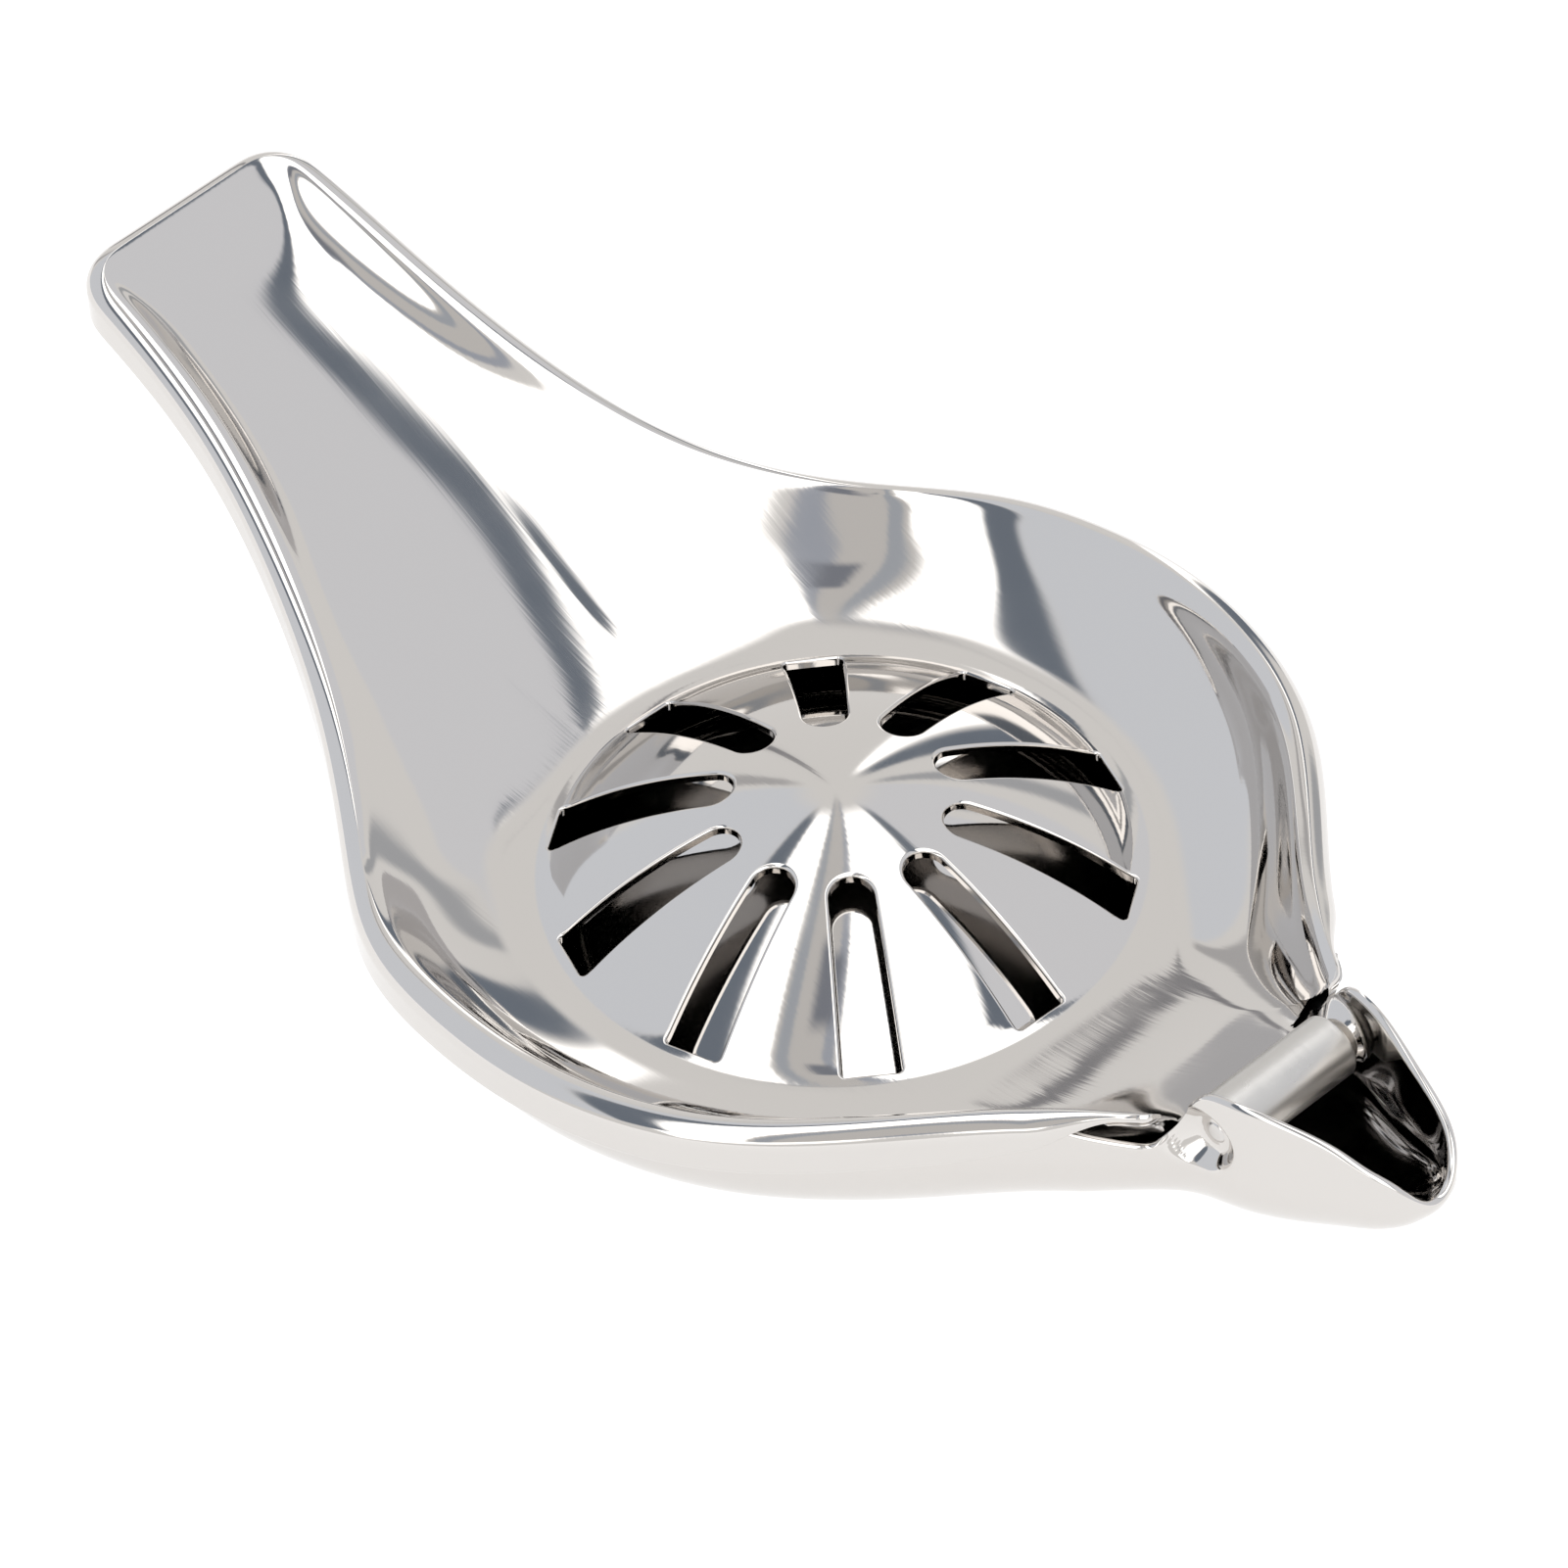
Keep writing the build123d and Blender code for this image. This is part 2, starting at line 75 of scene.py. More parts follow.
def spline_fn(xk, yk):
    xk = np.asarray(xk, float)
    yk = np.asarray(yk, float)
    n = len(xk)
    h = np.diff(xk)
    a = np.zeros((n, n))
    b = np.zeros(n)
    a[0, 0] = a[-1, -1] = 1
    for i in range(1, n - 1):
        a[i, i - 1] = h[i - 1]
        a[i, i] = 2 * (h[i - 1] + h[i])
        a[i, i + 1] = h[i]
        b[i] = 6 * ((yk[i + 1] - yk[i]) / h[i] - (yk[i] - yk[i - 1]) / h[i - 1])
    m = np.linalg.solve(a, b)

    def f(x):
        x = np.asarray(x, float)
        i = np.clip(np.searchsorted(xk, x) - 1, 0, n - 2)
        t = x - xk[i]
        hh = h[i]
        k3 = (m[i + 1] - m[i]) / (6 * hh)
        k1 = (yk[i + 1] - yk[i]) / hh - hh * (2 * m[i] + m[i + 1]) / 6
        r = yk[i] + t * (k1 + t * (m[i] / 2 + t * k3))
        s0 = (yk[1] - yk[0]) / h[0] - h[0] * m[1] / 6
        s1 = (yk[-1] - yk[-2]) / h[-1] + h[-1] * m[-2] / 6
        return np.where(x < xk[0], yk[0] + s0 * (x - xk[0]),
                        np.where(x > xk[-1], yk[-1] + s1 * (x - xk[-1]), r))
    return f


def soft_fn(xk, yk, sigma):
    g = np.arange(-110, 110, 0.05)
    v = np.interp(g, xk, yk)
    k = np.arange(-int(100 * sigma), int(100 * sigma) + 1) * 0.05
    w = np.exp(-k * k / (2 * sigma * sigma))
    w /= w.sum()
    v = np.convolve(np.pad(v, len(k) // 2, mode="edge"), w, "valid")
    return lambda x: np.interp(x, g, v)

# half width and height of the rim crest along the part
crest_w = spline_fn([-72, -60, -48, -38, -28, -18, -8, 2, 12, 22, 30, 38, 46],
                    [10.74, 12.1, 15.5, 20.2, 26.96, 33.76, 36.72, 37.3,
                     35.36, 30.2, 23.15, 15.8, 10.4])
crest_z = spline_fn([-84, -70, -56, -42, -28, -14, 0, 14, 26, 36, 46, 56],
                    [26.6, 22.9, 16.9, 9.6, 5.71, 6.3, 7.4, 7.93, 8.98, 10.3,
                     11.4, 12.2])
# floor of the upper dish, and how far in from the crest it is reached
floor_up = soft_fn([-84, -74, -67, -60, -50, -42, -36, -31, -27, -10, 27, 30,
                    36, 42, 47.2, 50, 56],
                   [25.0, 21.9, 18.9, 15.6, 10.4, 5.5, 2.5, 0.75, 0, 0, 0,
                    0.25, 2.6, 5.7, 8.7, 9.0, 9.2], 1.4)
reach_up = soft_fn([-84, -76, -74, -70, -60, -46, -38, -30, -22, 22, 30, 36,
                    42, 46, 56],
                   [9.0, 9.0, 7.0, 5.4, 5.4, 6.4, 8.0, 10.2, 10.9, 10.9, 10.6,
                    9.0, 6.2, 4.4, 3.0], 2.0)
# underside of the lower shell and the reach of its wall
floor_lo = soft_fn([-84, -74, -67, -60, -50, -42, -37, -32, -29, 27, 30, 36,
                    44, 50, 56, 61, 65, 67],
                   [22.5, 19.4, 16.4, 13.1, 7.9, 2.6, -1.0, -4.2, -5, -5,
                    -4.7, -3.6, -2.2, -1.1, 0.9, 3.3, 6.2, 7.6], 1.6)
reach_lo = soft_fn([-84, -60, -46, -38, -30, -24, 20, 30, 40, 46, 50, 56, 61,
                    65, 67],
                   [4.2, 4.2, 5.0, 6.6, 8.8, 9.5, 9.5, 9.4, 8.8, 7.8, 7.2,
                    6.0, 4.8, 2.8, 1.8], 1.6)
rim_lo = soft_fn([-84, 46.0, 48.8, 52, 57.8, 63.6, 66.0, 66.6, 70],
                 [0, 0, 1, 1, 1, 1, 1, 1, 1], 0.5)
rim_dip = soft_fn([-84, 39.5, 42.5, 45.9, 48, 70], [0, 0, 1.7, 2.9, 0, 0], 0.6)
lip_z = spline_fn([44, 48, 52, 57.8, 61, 63.6, 66.0, 66.8],
                  [14.2, 14.5, 14.9, 14.4, 13.6, 12.5, 10.2, 8.0])


def closed(points, rise, sigma, step=0.1):
    """Close a half outline (handle to front, y >= 0) and round it gently."""
    h = np.array(points)
    full = np.vstack([h, (h * [1, -1])[-2:0:-1]])
    c = np.vstack([full, full[:1]])
    arc = np.r_[0, np.cumsum(np.hypot(*np.diff(c, axis=0).T))]
    n = 2 * int(round(arc[-1] / step / 2))
    s = np.arange(n) * arc[-1] / n
    k = np.fft.rfftfreq(n, arc[-1] / n)

    def rounded(v, sg):
        return np.fft.irfft(np.fft.rfft(v) * np.exp(-2 * (np.pi * k * sg) ** 2), n)
    x = rounded(np.interp(s, arc, c[:, 0]), sigma)
    y = rounded(np.interp(s, arc, c[:, 1]), sigma)
    y[0] = y[n // 2] = 0.0
    z = rounded(rise(x), 0.8)
    tx = np.roll(x, -1) - np.roll(x, 1)
    ty = np.roll(y, -1) - np.roll(y, 1)
    m = np.hypot(tx, ty)
    nx, ny = ty / m, -tx / m
    if (nx * x + ny * y).sum() > 0:
        nx, ny = -nx, -ny
    ny[0] = ny[n // 2] = 0.0
    return np.array([x, y, z, nx, ny])


def handle_half(extra):
    we = float(crest_w(handle_end_x + handle_corner)) + extra
    rc = handle_corner + extra
    xe = handle_end_x - extra
    pts = [(xe, v) for v in np.linspace(0, we - rc, 30)[:-1]]
    pts += [(xe + rc - rc * math.cos(a), we - rc + rc * math.sin(a))
            for a in np.linspace(0, math.pi / 2, 24)][:-1]
    return pts


xs = np.linspace(handle_end_x + handle_corner, 46, 260)
upper_line = closed(handle_half(0) + list(zip(xs, crest_w(xs)))
                    + [(48.0, 9.45), (50.2, 9.1), (52.5, 9.0), (54.83, 8.69),
                       (57.0, 7.79), (58.86, 6.36), (60.3, 4.5), (61.2, 2.33),
                       (61.5, 0.0)], crest_z, 1.0)
xs = np.linspace(handle_end_x + handle_corner, 44.6, 250)
front_line = closed(handle_half(0) + list(zip(xs, crest_w(xs)))
                    + [(45.6, 10.4), (45.6, 7.6), (45.7, 6.6), (46.3, 5.9),
                       (46.7, 5.2), (46.75, 3.0), (46.75, 0.0)], crest_z, 0.8)
xs = np.linspace(handle_end_x + handle_corner, 41, 250)
slope = np.gradient(crest_w(xs), xs)
grow = rim_gap / np.sqrt(1 + slope ** 2)
lower_half = handle_half(rim_gap) + list(zip(xs - slope * grow,
                                             crest_w(xs) + grow))
beak = spline_fn([38, 41, 43.5, 45.5, 47, 48.5, 50, 52, 55, 57.8, 60.6, 63.6,
                  65.2],
                 [16.15, 13.9, 11.7, 9.95, 8.95, 8.5, 8.25, 7.9, 7.05, 6.1,
                  5.25, 4.3, 3.35])
bx = np.linspace(41.8, 65.2, 90)
lower_half += list(zip(bx, beak(bx))) + [(66.0, 2.45), (66.45, 1.3), (66.6, 0.0)]


def lower_rise(x):
    t = rim_lo(x)
    return (crest_z(np.minimum(x, 50)) - rim_drop - rim_dip(x)) * (1 - t) + lip_z(np.maximum(x, 44)) * t


lower_line = closed(lower_half, lower_rise, 0.8)

def foot(px, py, line):
    """Arc index of the nearest outline point and the distance to it."""
    ox, oy = line[0], line[1]
    n = len(ox)
    cx, cy = ox[::5], oy[::5]
    shape = px.shape
    px, py = px.ravel(), py.ravel()
    idx = np.empty(len(px))
    dist = np.empty(len(px))
    for a in range(0, len(px), 4000):
        qx, qy = px[a:a + 4000], py[a:a + 4000]
        i = ((qx[:, None] - cx) ** 2 + (qy[:, None] - cy) ** 2).argmin(1) * 5
        j = (i[:, None] + np.arange(-5, 6)) % n
        d2 = (qx[:, None] - ox[j]) ** 2 + (qy[:, None] - oy[j]) ** 2
        i = j[np.arange(len(qx)), d2.argmin(1)]
        best = np.full(len(qx), 1e9)
        where = np.zeros(len(qx))
        for o in (-1, 0):
            j = (i + o) % n
            k = (j + 1) % n
            ex, ey = ox[k] - ox[j], oy[k] - oy[j]
            t = np.clip(((qx - ox[j]) * ex + (qy - oy[j]) * ey) / (ex * ex + ey * ey), 0, 1)
            dd = np.hypot(qx - ox[j] - t * ex, qy - oy[j] - t * ey)
            m = dd < best
            best = np.where(m, dd, best)
            where = np.where(m, j + t, where)
        idx[a:a + 4000] = where
        dist[a:a + 4000] = best
    return idx.reshape(shape), dist.reshape(shape)


def at(values, idx):
    n = len(values)
    j = np.floor(idx).astype(int)
    t = idx - j
    return values[j % n] * (1 - t) + values[(j + 1) % n] * t


def drop_upper(d, height, reach):
    """Share of the rim height lost at distance d inside the crest."""
    b0 = 2 * np.arctan2(height, reach)
    r = np.clip(reach / np.sin(b0) - bead_radius, 0.8, 10.0)
    lo, hi = np.full(d.shape, 0.05), np.full(d.shape, 1.5)
    for _ in range(30):
        b = (lo + hi) / 2
        flank = np.maximum((reach - (bead_radius + r) * np.sin(b)) / np.cos(b), 0.0)
        over = (bead_radius + r) * (1 - np.cos(b)) + flank * np.sin(b) > height
        hi = np.where(over, b, hi)
        lo = np.where(over, lo, b)
    x1 = bead_radius * np.sin(b)
    x2 = x1 + flank * np.cos(b)
    x3 = x2 + r * np.sin(b)
    z1 = bead_radius * (1 - np.cos(b))
    z2 = z1 + flank * np.sin(b)
    z3 = z2 + r * (1 - np.cos(b))
    v = np.where(d < x1, bead_radius - np.sqrt(np.maximum(bead_radius ** 2 - d ** 2, 0)),
                 np.where(d < x2, z1 + (d - x1) * np.tan(b),
                          z3 - (r - np.sqrt(np.maximum(r * r - np.minimum(x3 - d, r) ** 2, 0)))))
    return np.where(d >= x3, z3, v) / z3


# the handle floor is slightly hollow across
trough = soft_fn([-84, -72, -66, -44, -29, 60], [0.0, 0.0, 0.065, 0.065, 0, 0], 2.0)


def floor_at(x, y):
    # the rise of the handle starts on a circle round the dome
    near = np.clip((-x - 15) / 10, 0, 1) * np.clip((60 + x) / 25, 0, 1)
    side = 18 * np.tanh(np.abs(y) / 18)
    return floor_up(x - near * (np.hypot(x, side) - np.abs(x)))


def top_upper(x, y):
    i, d = foot(x, y, upper_line)
    ex = at(upper_line[0], i)
    rim = at(upper_line[2], i)
    edge_half = np.maximum(crest_w(ex) - reach_up(ex), 5.0)
    h = np.maximum(rim - floor_at(ex, at(upper_line[1], i)) - trough(ex) * edge_half, 1.5)
    half = np.maximum(crest_w(x) - reach_up(x), 5.0)
    run = -np.logaddexp(-np.abs(y) / half * 8, -8.0) / 8
    rise = trough(x) * half * np.maximum(run, 0) ** 2
    return floor_at(x, y) + rise + h * (1 - drop_upper(d, h, reach_up(ex)))


def under_lower(x, y):
    i, d = foot(x, y, lower_line)
    ex = at(lower_line[0], i)
    rim = at(lower_line[2], i)
    h = rim - wall_straight(ex, rim) - floor_lo(ex)
    u = np.clip(1 - d / reach_lo(ex), 0, 1)
    return floor_lo(x) + h * (1 - np.sqrt(np.maximum(1 - u * u, 0)))


def wall_straight(x, rim):
    """Upright part of the lower wall under its rim."""
    total = rim - floor_lo(x)
    p, q = total - reach_lo(x), 0.09 * total
    return 0.5 * (p + q + np.sqrt((p - q) ** 2 + 0.1))


def blurred(fn, x, y, line, start):
    """Surface height with creases eased out away from the rim."""
    _, d = foot(x, y, line)
    rb = np.clip(0.3 * (d - start), 0, 1.4)
    total = fn(x, y) * 2.0
    weight = 2.0
    for k in range(8):
        a = k * math.pi / 4
        for f in (0.5, 1.0):
            total = total + fn(x + f * rb * math.cos(a), y + f * rb * math.sin(a))
            weight += 1.0
    return total / weight


# ------------------------------------------------------------------- meshes


def stations(line, spacing, front):
    n = line.shape[1] // 2
    x, y = line[0][:n + 1], line[1][:n + 1]
    ang = np.unwrap(np.arctan2(line[4][:n + 1], line[3][:n + 1]))
    step = np.hypot(np.diff(x), np.diff(y))
    kap = np.abs(np.diff(ang)) / step
    kap = np.convolve(np.pad(kap, 8, mode="edge"), np.ones(17) / 17, "valid")
    d = 1.0 + 5.0 * kap + front * (x[:-1] > 43)
    dens = np.r_[0, np.cumsum(step * d / spacing)]
    count = int(math.ceil(dens[-1])) + 1
    return np.interp(np.linspace(0, dens[-1], count), dens, np.arange(n + 1))


def skin(line, outside, height, t, ring_z, s, lift):
    """Rim profile rows outside the line, then height(x, y) rows to the ring."""
    x0, y0, z0, nx, ny = [at(line[k], s) for k in range(5)]
    if lift:
        z0 = height(x0, y0)
    m = np.hypot(nx, ny)
    nx, ny = nx / m, ny / m
    y0[0] = y0[-1] = 0
    ny[0] = ny[-1] = 0
    rows = [(x0 - o * nx, y0 - o * ny, z0 - (v(x0, z0) if callable(v) else v))
            for o, v in outside]
    th = np.arctan2(y0, x0)
    th[0] = math.pi
    th[-1] = 0
    cx, cy = ring_radius * np.cos(th), ring_radius * np.sin(th)
    cy[0] = cy[-1] = 0
    span = np.hypot(cx - x0, cy - y0)
    lead = np.minimum(span, 12.0)
    ins = []
    for u in t:
        a, b, c = u * u * (3 - 2 * u), u * (1 - u) ** 2, u * u * (1 - u)
        px = x0 * (1 - a) + cx * a + nx * lead * b + np.cos(th) * span * c
        py = y0 * (1 - a) + cy * a + ny * lead * b + np.sin(th) * span * c
        py[0] = py[-1] = 0
        ins.append((px, py))
    ins = np.array(ins)
    z = height(ins[:, 0], ins[:, 1])
    z[-1] = ring_z
    g = np.concatenate([np.array(rows), np.stack([ins[:, 0], ins[:, 1], z], 1)])
    return np.moveaxis(g, 1, 2), th


def grid_normals(g):
    """Unit normals of a half grid that is mirrored in y."""
    full = np.concatenate([(g * [1, -1, 1])[:, 1:4][:, ::-1], g,
                           (g * [1, -1, 1])[:, -4:-1][:, ::-1]], axis=1)
    nrm = np.cross(np.gradient(full, axis=0), np.gradient(full, axis=1))
    ln = np.linalg.norm(nrm, axis=2, keepdims=True)
    nrm = (nrm / np.maximum(ln, 1e-12))[:, 3:-3]
    nrm[:, 0, 1] = nrm[:, -1, 1] = 0
    if nrm[-2, :, 2].mean() < 0:
        nrm = -nrm
    return nrm / np.linalg.norm(nrm, axis=2, keepdims=True)


class Builder:
    """Collects vertices with their own normals, and faces."""

    def __init__(self):
        self.v, self.n, self.f, self.m = [], [], [], []
        self.count = 0

    def grid(self, g, nrm, flip=False, mat=0, both=True, closed=False):
        for side in ((1, -1) if both else (1,)):
            k = np.array([1, side, 1])
            r, c = g.shape[:2]
            ids = np.arange(r * c).reshape(r, c) + self.count
            if closed:
                ids = np.concatenate([ids, ids[:, :1]], axis=1)
            self.v.append((g * k).reshape(-1, 3))
            self.n.append((nrm * k).reshape(-1, 3))
            self.count += r * c
            q = np.stack([ids[:-1, :-1], ids[:-1, 1:], ids[1:, 1:], ids[1:, :-1]], -1).reshape(-1, 4)
            if flip != (side == -1):
                q = q[:, ::-1]
            self.f += q.tolist()
            self.m += [mat] * len(q)

    def tris(self, v, n, f, mat=0):
        f = (np.asarray(f) + self.count).tolist()
        self.v.append(np.asarray(v))
        self.n.append(np.asarray(n))
        self.count += len(v)
        self.f += f
        self.m += [mat] * len(f)

    def make(self, name, body, replaces=(), mats=(), cut=None):
        v = (np.concatenate(self.v) + SHIFT) / 1000.0
        n = np.concatenate(self.n)
        for i, f in enumerate(self.f):                # wind every face with its normals
            a = v[f[2]] - v[f[0]]
            b = v[f[3 % len(f)]] - v[f[1]]
            c = (a[1] * b[2] - a[2] * b[1], a[2] * b[0] - a[0] * b[2], a[0] * b[1] - a[1] * b[0])
            q = n[f[0]] + n[f[2]]
            if c[0] * q[0] + c[1] * q[1] + c[2] * q[2] < 0:
                self.f[i] = f[::-1]
        if cut is not None:
            p = np.concatenate(self.v)
            mid = np.array([p[f].mean(0) for f in self.f])
            keep = cut(mid) <= 0
            self.f = [f for f, k in zip(self.f, keep) if k]
            self.m = [m for m, k in zip(self.m, keep) if k]
        mesh = bpy.data.meshes.new(name)
        mesh.from_pydata(v.tolist(), [], self.f)
        for m in mats:
            mesh.materials.append(m)
        mesh.polygons.foreach_set("material_index", self.m)
        mesh.polygons.foreach_set("use_smooth", [True] * len(mesh.polygons))
        mesh.update()
        mesh.normals_split_custom_set_from_vertices(n.tolist())
        o = bpy.data.objects.new(name, mesh)
        bpy.context.scene.collection.objects.link(o)
        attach(o, body)
        if replaces:
            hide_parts(*replaces)
        return o


def dome_z(r, apex, base_z):
    """Height and outward slope of a dome with a foot fillet."""
    rise = apex - base_z
    big = (dome_base ** 2 + rise ** 2) / (2 * rise)
    cz = apex - big
    fz = base_z + dome_foot
    fr = math.sqrt((big + dome_foot) ** 2 - (fz - cz) ** 2)
    rt = fr * big / (big + dome_foot)
    r = np.asarray(r, float)
    z = np.where(r >= fr, base_z, np.where(
        r > rt, fz - np.sqrt(np.maximum(dome_foot ** 2 - (fr - r) ** 2, 1e-9)),
        cz + np.sqrt(np.maximum(big ** 2 - r * r, 1e-9))))
    nr = np.where(r >= fr, 0.0, np.where(r > rt, (fr - r) / dome_foot, r / big))
    return z, nr


def relax(g, first, last, rounds):
    """Ease small kinks out of the rows from first to last."""
    r = np.arange(g.shape[0])
    w = 0.5 * np.clip((r - first) / 8.0, 0, 1) * np.clip((last - r) / 8.0, 0, 1)
    w = w[1:-1, None, None]
    for _ in range(rounds):
        f = np.concatenate([g[:, 1:2] * [1, -1, 1], g, g[:, -2:-1] * [1, -1, 1]], axis=1)
        mean = (f[:-2, 1:-1] + f[2:, 1:-1] + f[1:-1, :-2] + f[1:-1, 2:]) / 4
        g[1:-1] = g[1:-1] * (1 - w) + mean * w
    g[:, [0, -1], 1] = 0
    return g


def notch_depth(p):
    """How far a point lies inside the clearance round the hinge cheeks."""
    y = np.abs(p[..., 1])
    rho = np.hypot(p[..., 0] - hinge_x, p[..., 2] - hinge_z)
    return np.minimum(np.minimum(y - 6.9, 9.3 - y), 6.1 - rho)


# upper shell ---------------------------------------------------------------
def skirt_drop(x):
    return bead_radius + 0.15 + (skirt_depth - bead_radius - 0.15) * np.clip((44.0 - x) / 11.5, 0, 1)


edge = 0.4
arc = np.radians(np.arange(0, 91, 15))
up_rows, lo_side = [], []
for a in arc:                                    # rounded lower edge of the skirt
    up_rows.append((bead_radius - edge + edge * math.sin(a),
                    (lambda x, z, k=edge * (1 - math.cos(a)): skirt_drop(x) - k)))
    lo_side.append((bead_radius - edge - edge * math.sin(a),
                    (lambda x, z, k=edge * (1 - math.cos(a)): skirt_drop(x) - k)))
for f in (0.75, 0.5, 0.25, 0.1):
    up_rows.append((bead_radius, (lambda x, z, f=f: bead_radius + f * (skirt_drop(x) - edge - bead_radius))))
for a in np.radians(np.arange(0, 90, 6)):
    up_rows.append((bead_radius * math.cos(a), bead_radius * (1 - math.sin(a))))
up_rows.append((0.0, 0.0))
n_out = len(up_rows)
u = np.linspace(0, 1, 100)[1:]
inward = u * (0.4 + 0.6 * u)
s_up = stations(front_line, 0.55, 1.0)
up_g, up_th = skin(front_line, up_rows,
                   lambda x, y: blurred(top_upper, x, y, upper_line, 1.4), inward, 0.0, s_up, True)
relax(up_g, n_out + 8, up_g.shape[0] - 3, 60)
up_n = grid_normals(up_g)
un_g = up_g - up_n * sheet
for k, (o, v) in enumerate(lo_side):
    x0, y0, z0, nx, ny = [at(front_line[q], s_up) for q in range(5)]
    m = np.hypot(nx, ny)
    un_g[k] = np.stack([up_g[n_out - 1, :, 0] - o * nx / m, up_g[n_out - 1, :, 1] - o * ny / m,
                        up_g[n_out - 1, :, 2] - v(x0, z0)], 1)
rim = up_g[n_out - 1]
keep_bead = np.where(rim[:, 0] > 43.6, np.clip((rim[:, 1] - 9.3) / 1.5, 0, 1), 1.0)
keep_bead = keep_bead ** 2 * (3 - 2 * keep_bead)
thin = np.clip((rim[:, 0] - 37.5) / 6.3, 0, 1)          # the bead runs out towards the cheeks
keep_bead = (keep_bead * (1 - 0.8 * thin ** 2 * (3 - 2 * thin)))[:, None]
for r in range(n_out - 1):
    for g, a, b in ((up_g, -0.39, 0.39), (un_g, -0.41, -0.39)):
        flat = rim + np.array([0, 0, a + b * r / (n_out - 1)])
        g[r] = keep_bead * g[r] + (1 - keep_bead) * flat
un_g[n_out - 1] = keep_bead * un_g[n_out - 1] + (1 - keep_bead) * (rim - np.array([0, 0, sheet]))
un_g[:, [0, -1], 1] = 0
up_n = grid_normals(up_g)
un_n = -grid_normals(un_g)

B = Builder()
B.grid(up_g, up_n, mat=0)
B.grid(un_g, un_n, flip=True, mat=1)


# strainer dome with its slots
def slot_outline():
    r = slot_w_in / 2
    c = slot_inner + r
    # tangent from the square end's side to the inner round
    dx, dy = slot_outer - c, slot_w_out / 2
    dist = math.hypot(dx, dy)
    ang = math.atan2(dy, dx) + math.acos(min(r / dist, 1.0))
    tx, ty = c + r * math.cos(ang), r * math.sin(ang)
    pts, nrm = [], []
    for a in np.linspace(ang, 2 * math.pi - ang, 19):
        pts.append((c + r * math.cos(a), r * math.sin(a)))
        nrm.append((math.cos(a), math.sin(a)))
    side = np.array([slot_outer - tx, dy - ty])
    side /= np.linalg.norm(side)
    sn = np.array([-side[1], side[0]])
    k = slot_corner
    # corner circle centre: k inside both the end and the side
    cy = ty + (slot_outer - k - tx) * side[1] / side[0] - k / side[0]
    cc = np.array([slot_outer - k, cy])
    start = cc + sn * k
    low = []
    for t in np.linspace(0, 1, 26)[1:]:
        q = np.array([tx, ty]) * (1 - t) + start * t
        low.append((q, sn))
    a0 = math.atan2(sn[1], sn[0])
    for a in np.linspace(a0, 0, 7)[1:]:
        low.append((cc + k * np.array([math.cos(a), math.sin(a)]), np.array([math.cos(a), math.sin(a)])))
    for y in np.linspace(cc[1], 0, 8)[1:]:
        low.append((np.array([slot_outer, y]), np.array([1.0, 0.0])))
    up = low
    dn = [(q * [1, -1], m * [1, -1]) for q, m in low[:-1]]
    # go round: inner arc from +side to -side, then -side outward, end, +side inward
    for q, m in dn:
        pts.append(tuple(q))
        nrm.append(tuple(m))
    for q, m in up[::-1]:
        pts.append(tuple(q))
        nrm.append(tuple(m))
    return np.array(pts), np.array(nrm)


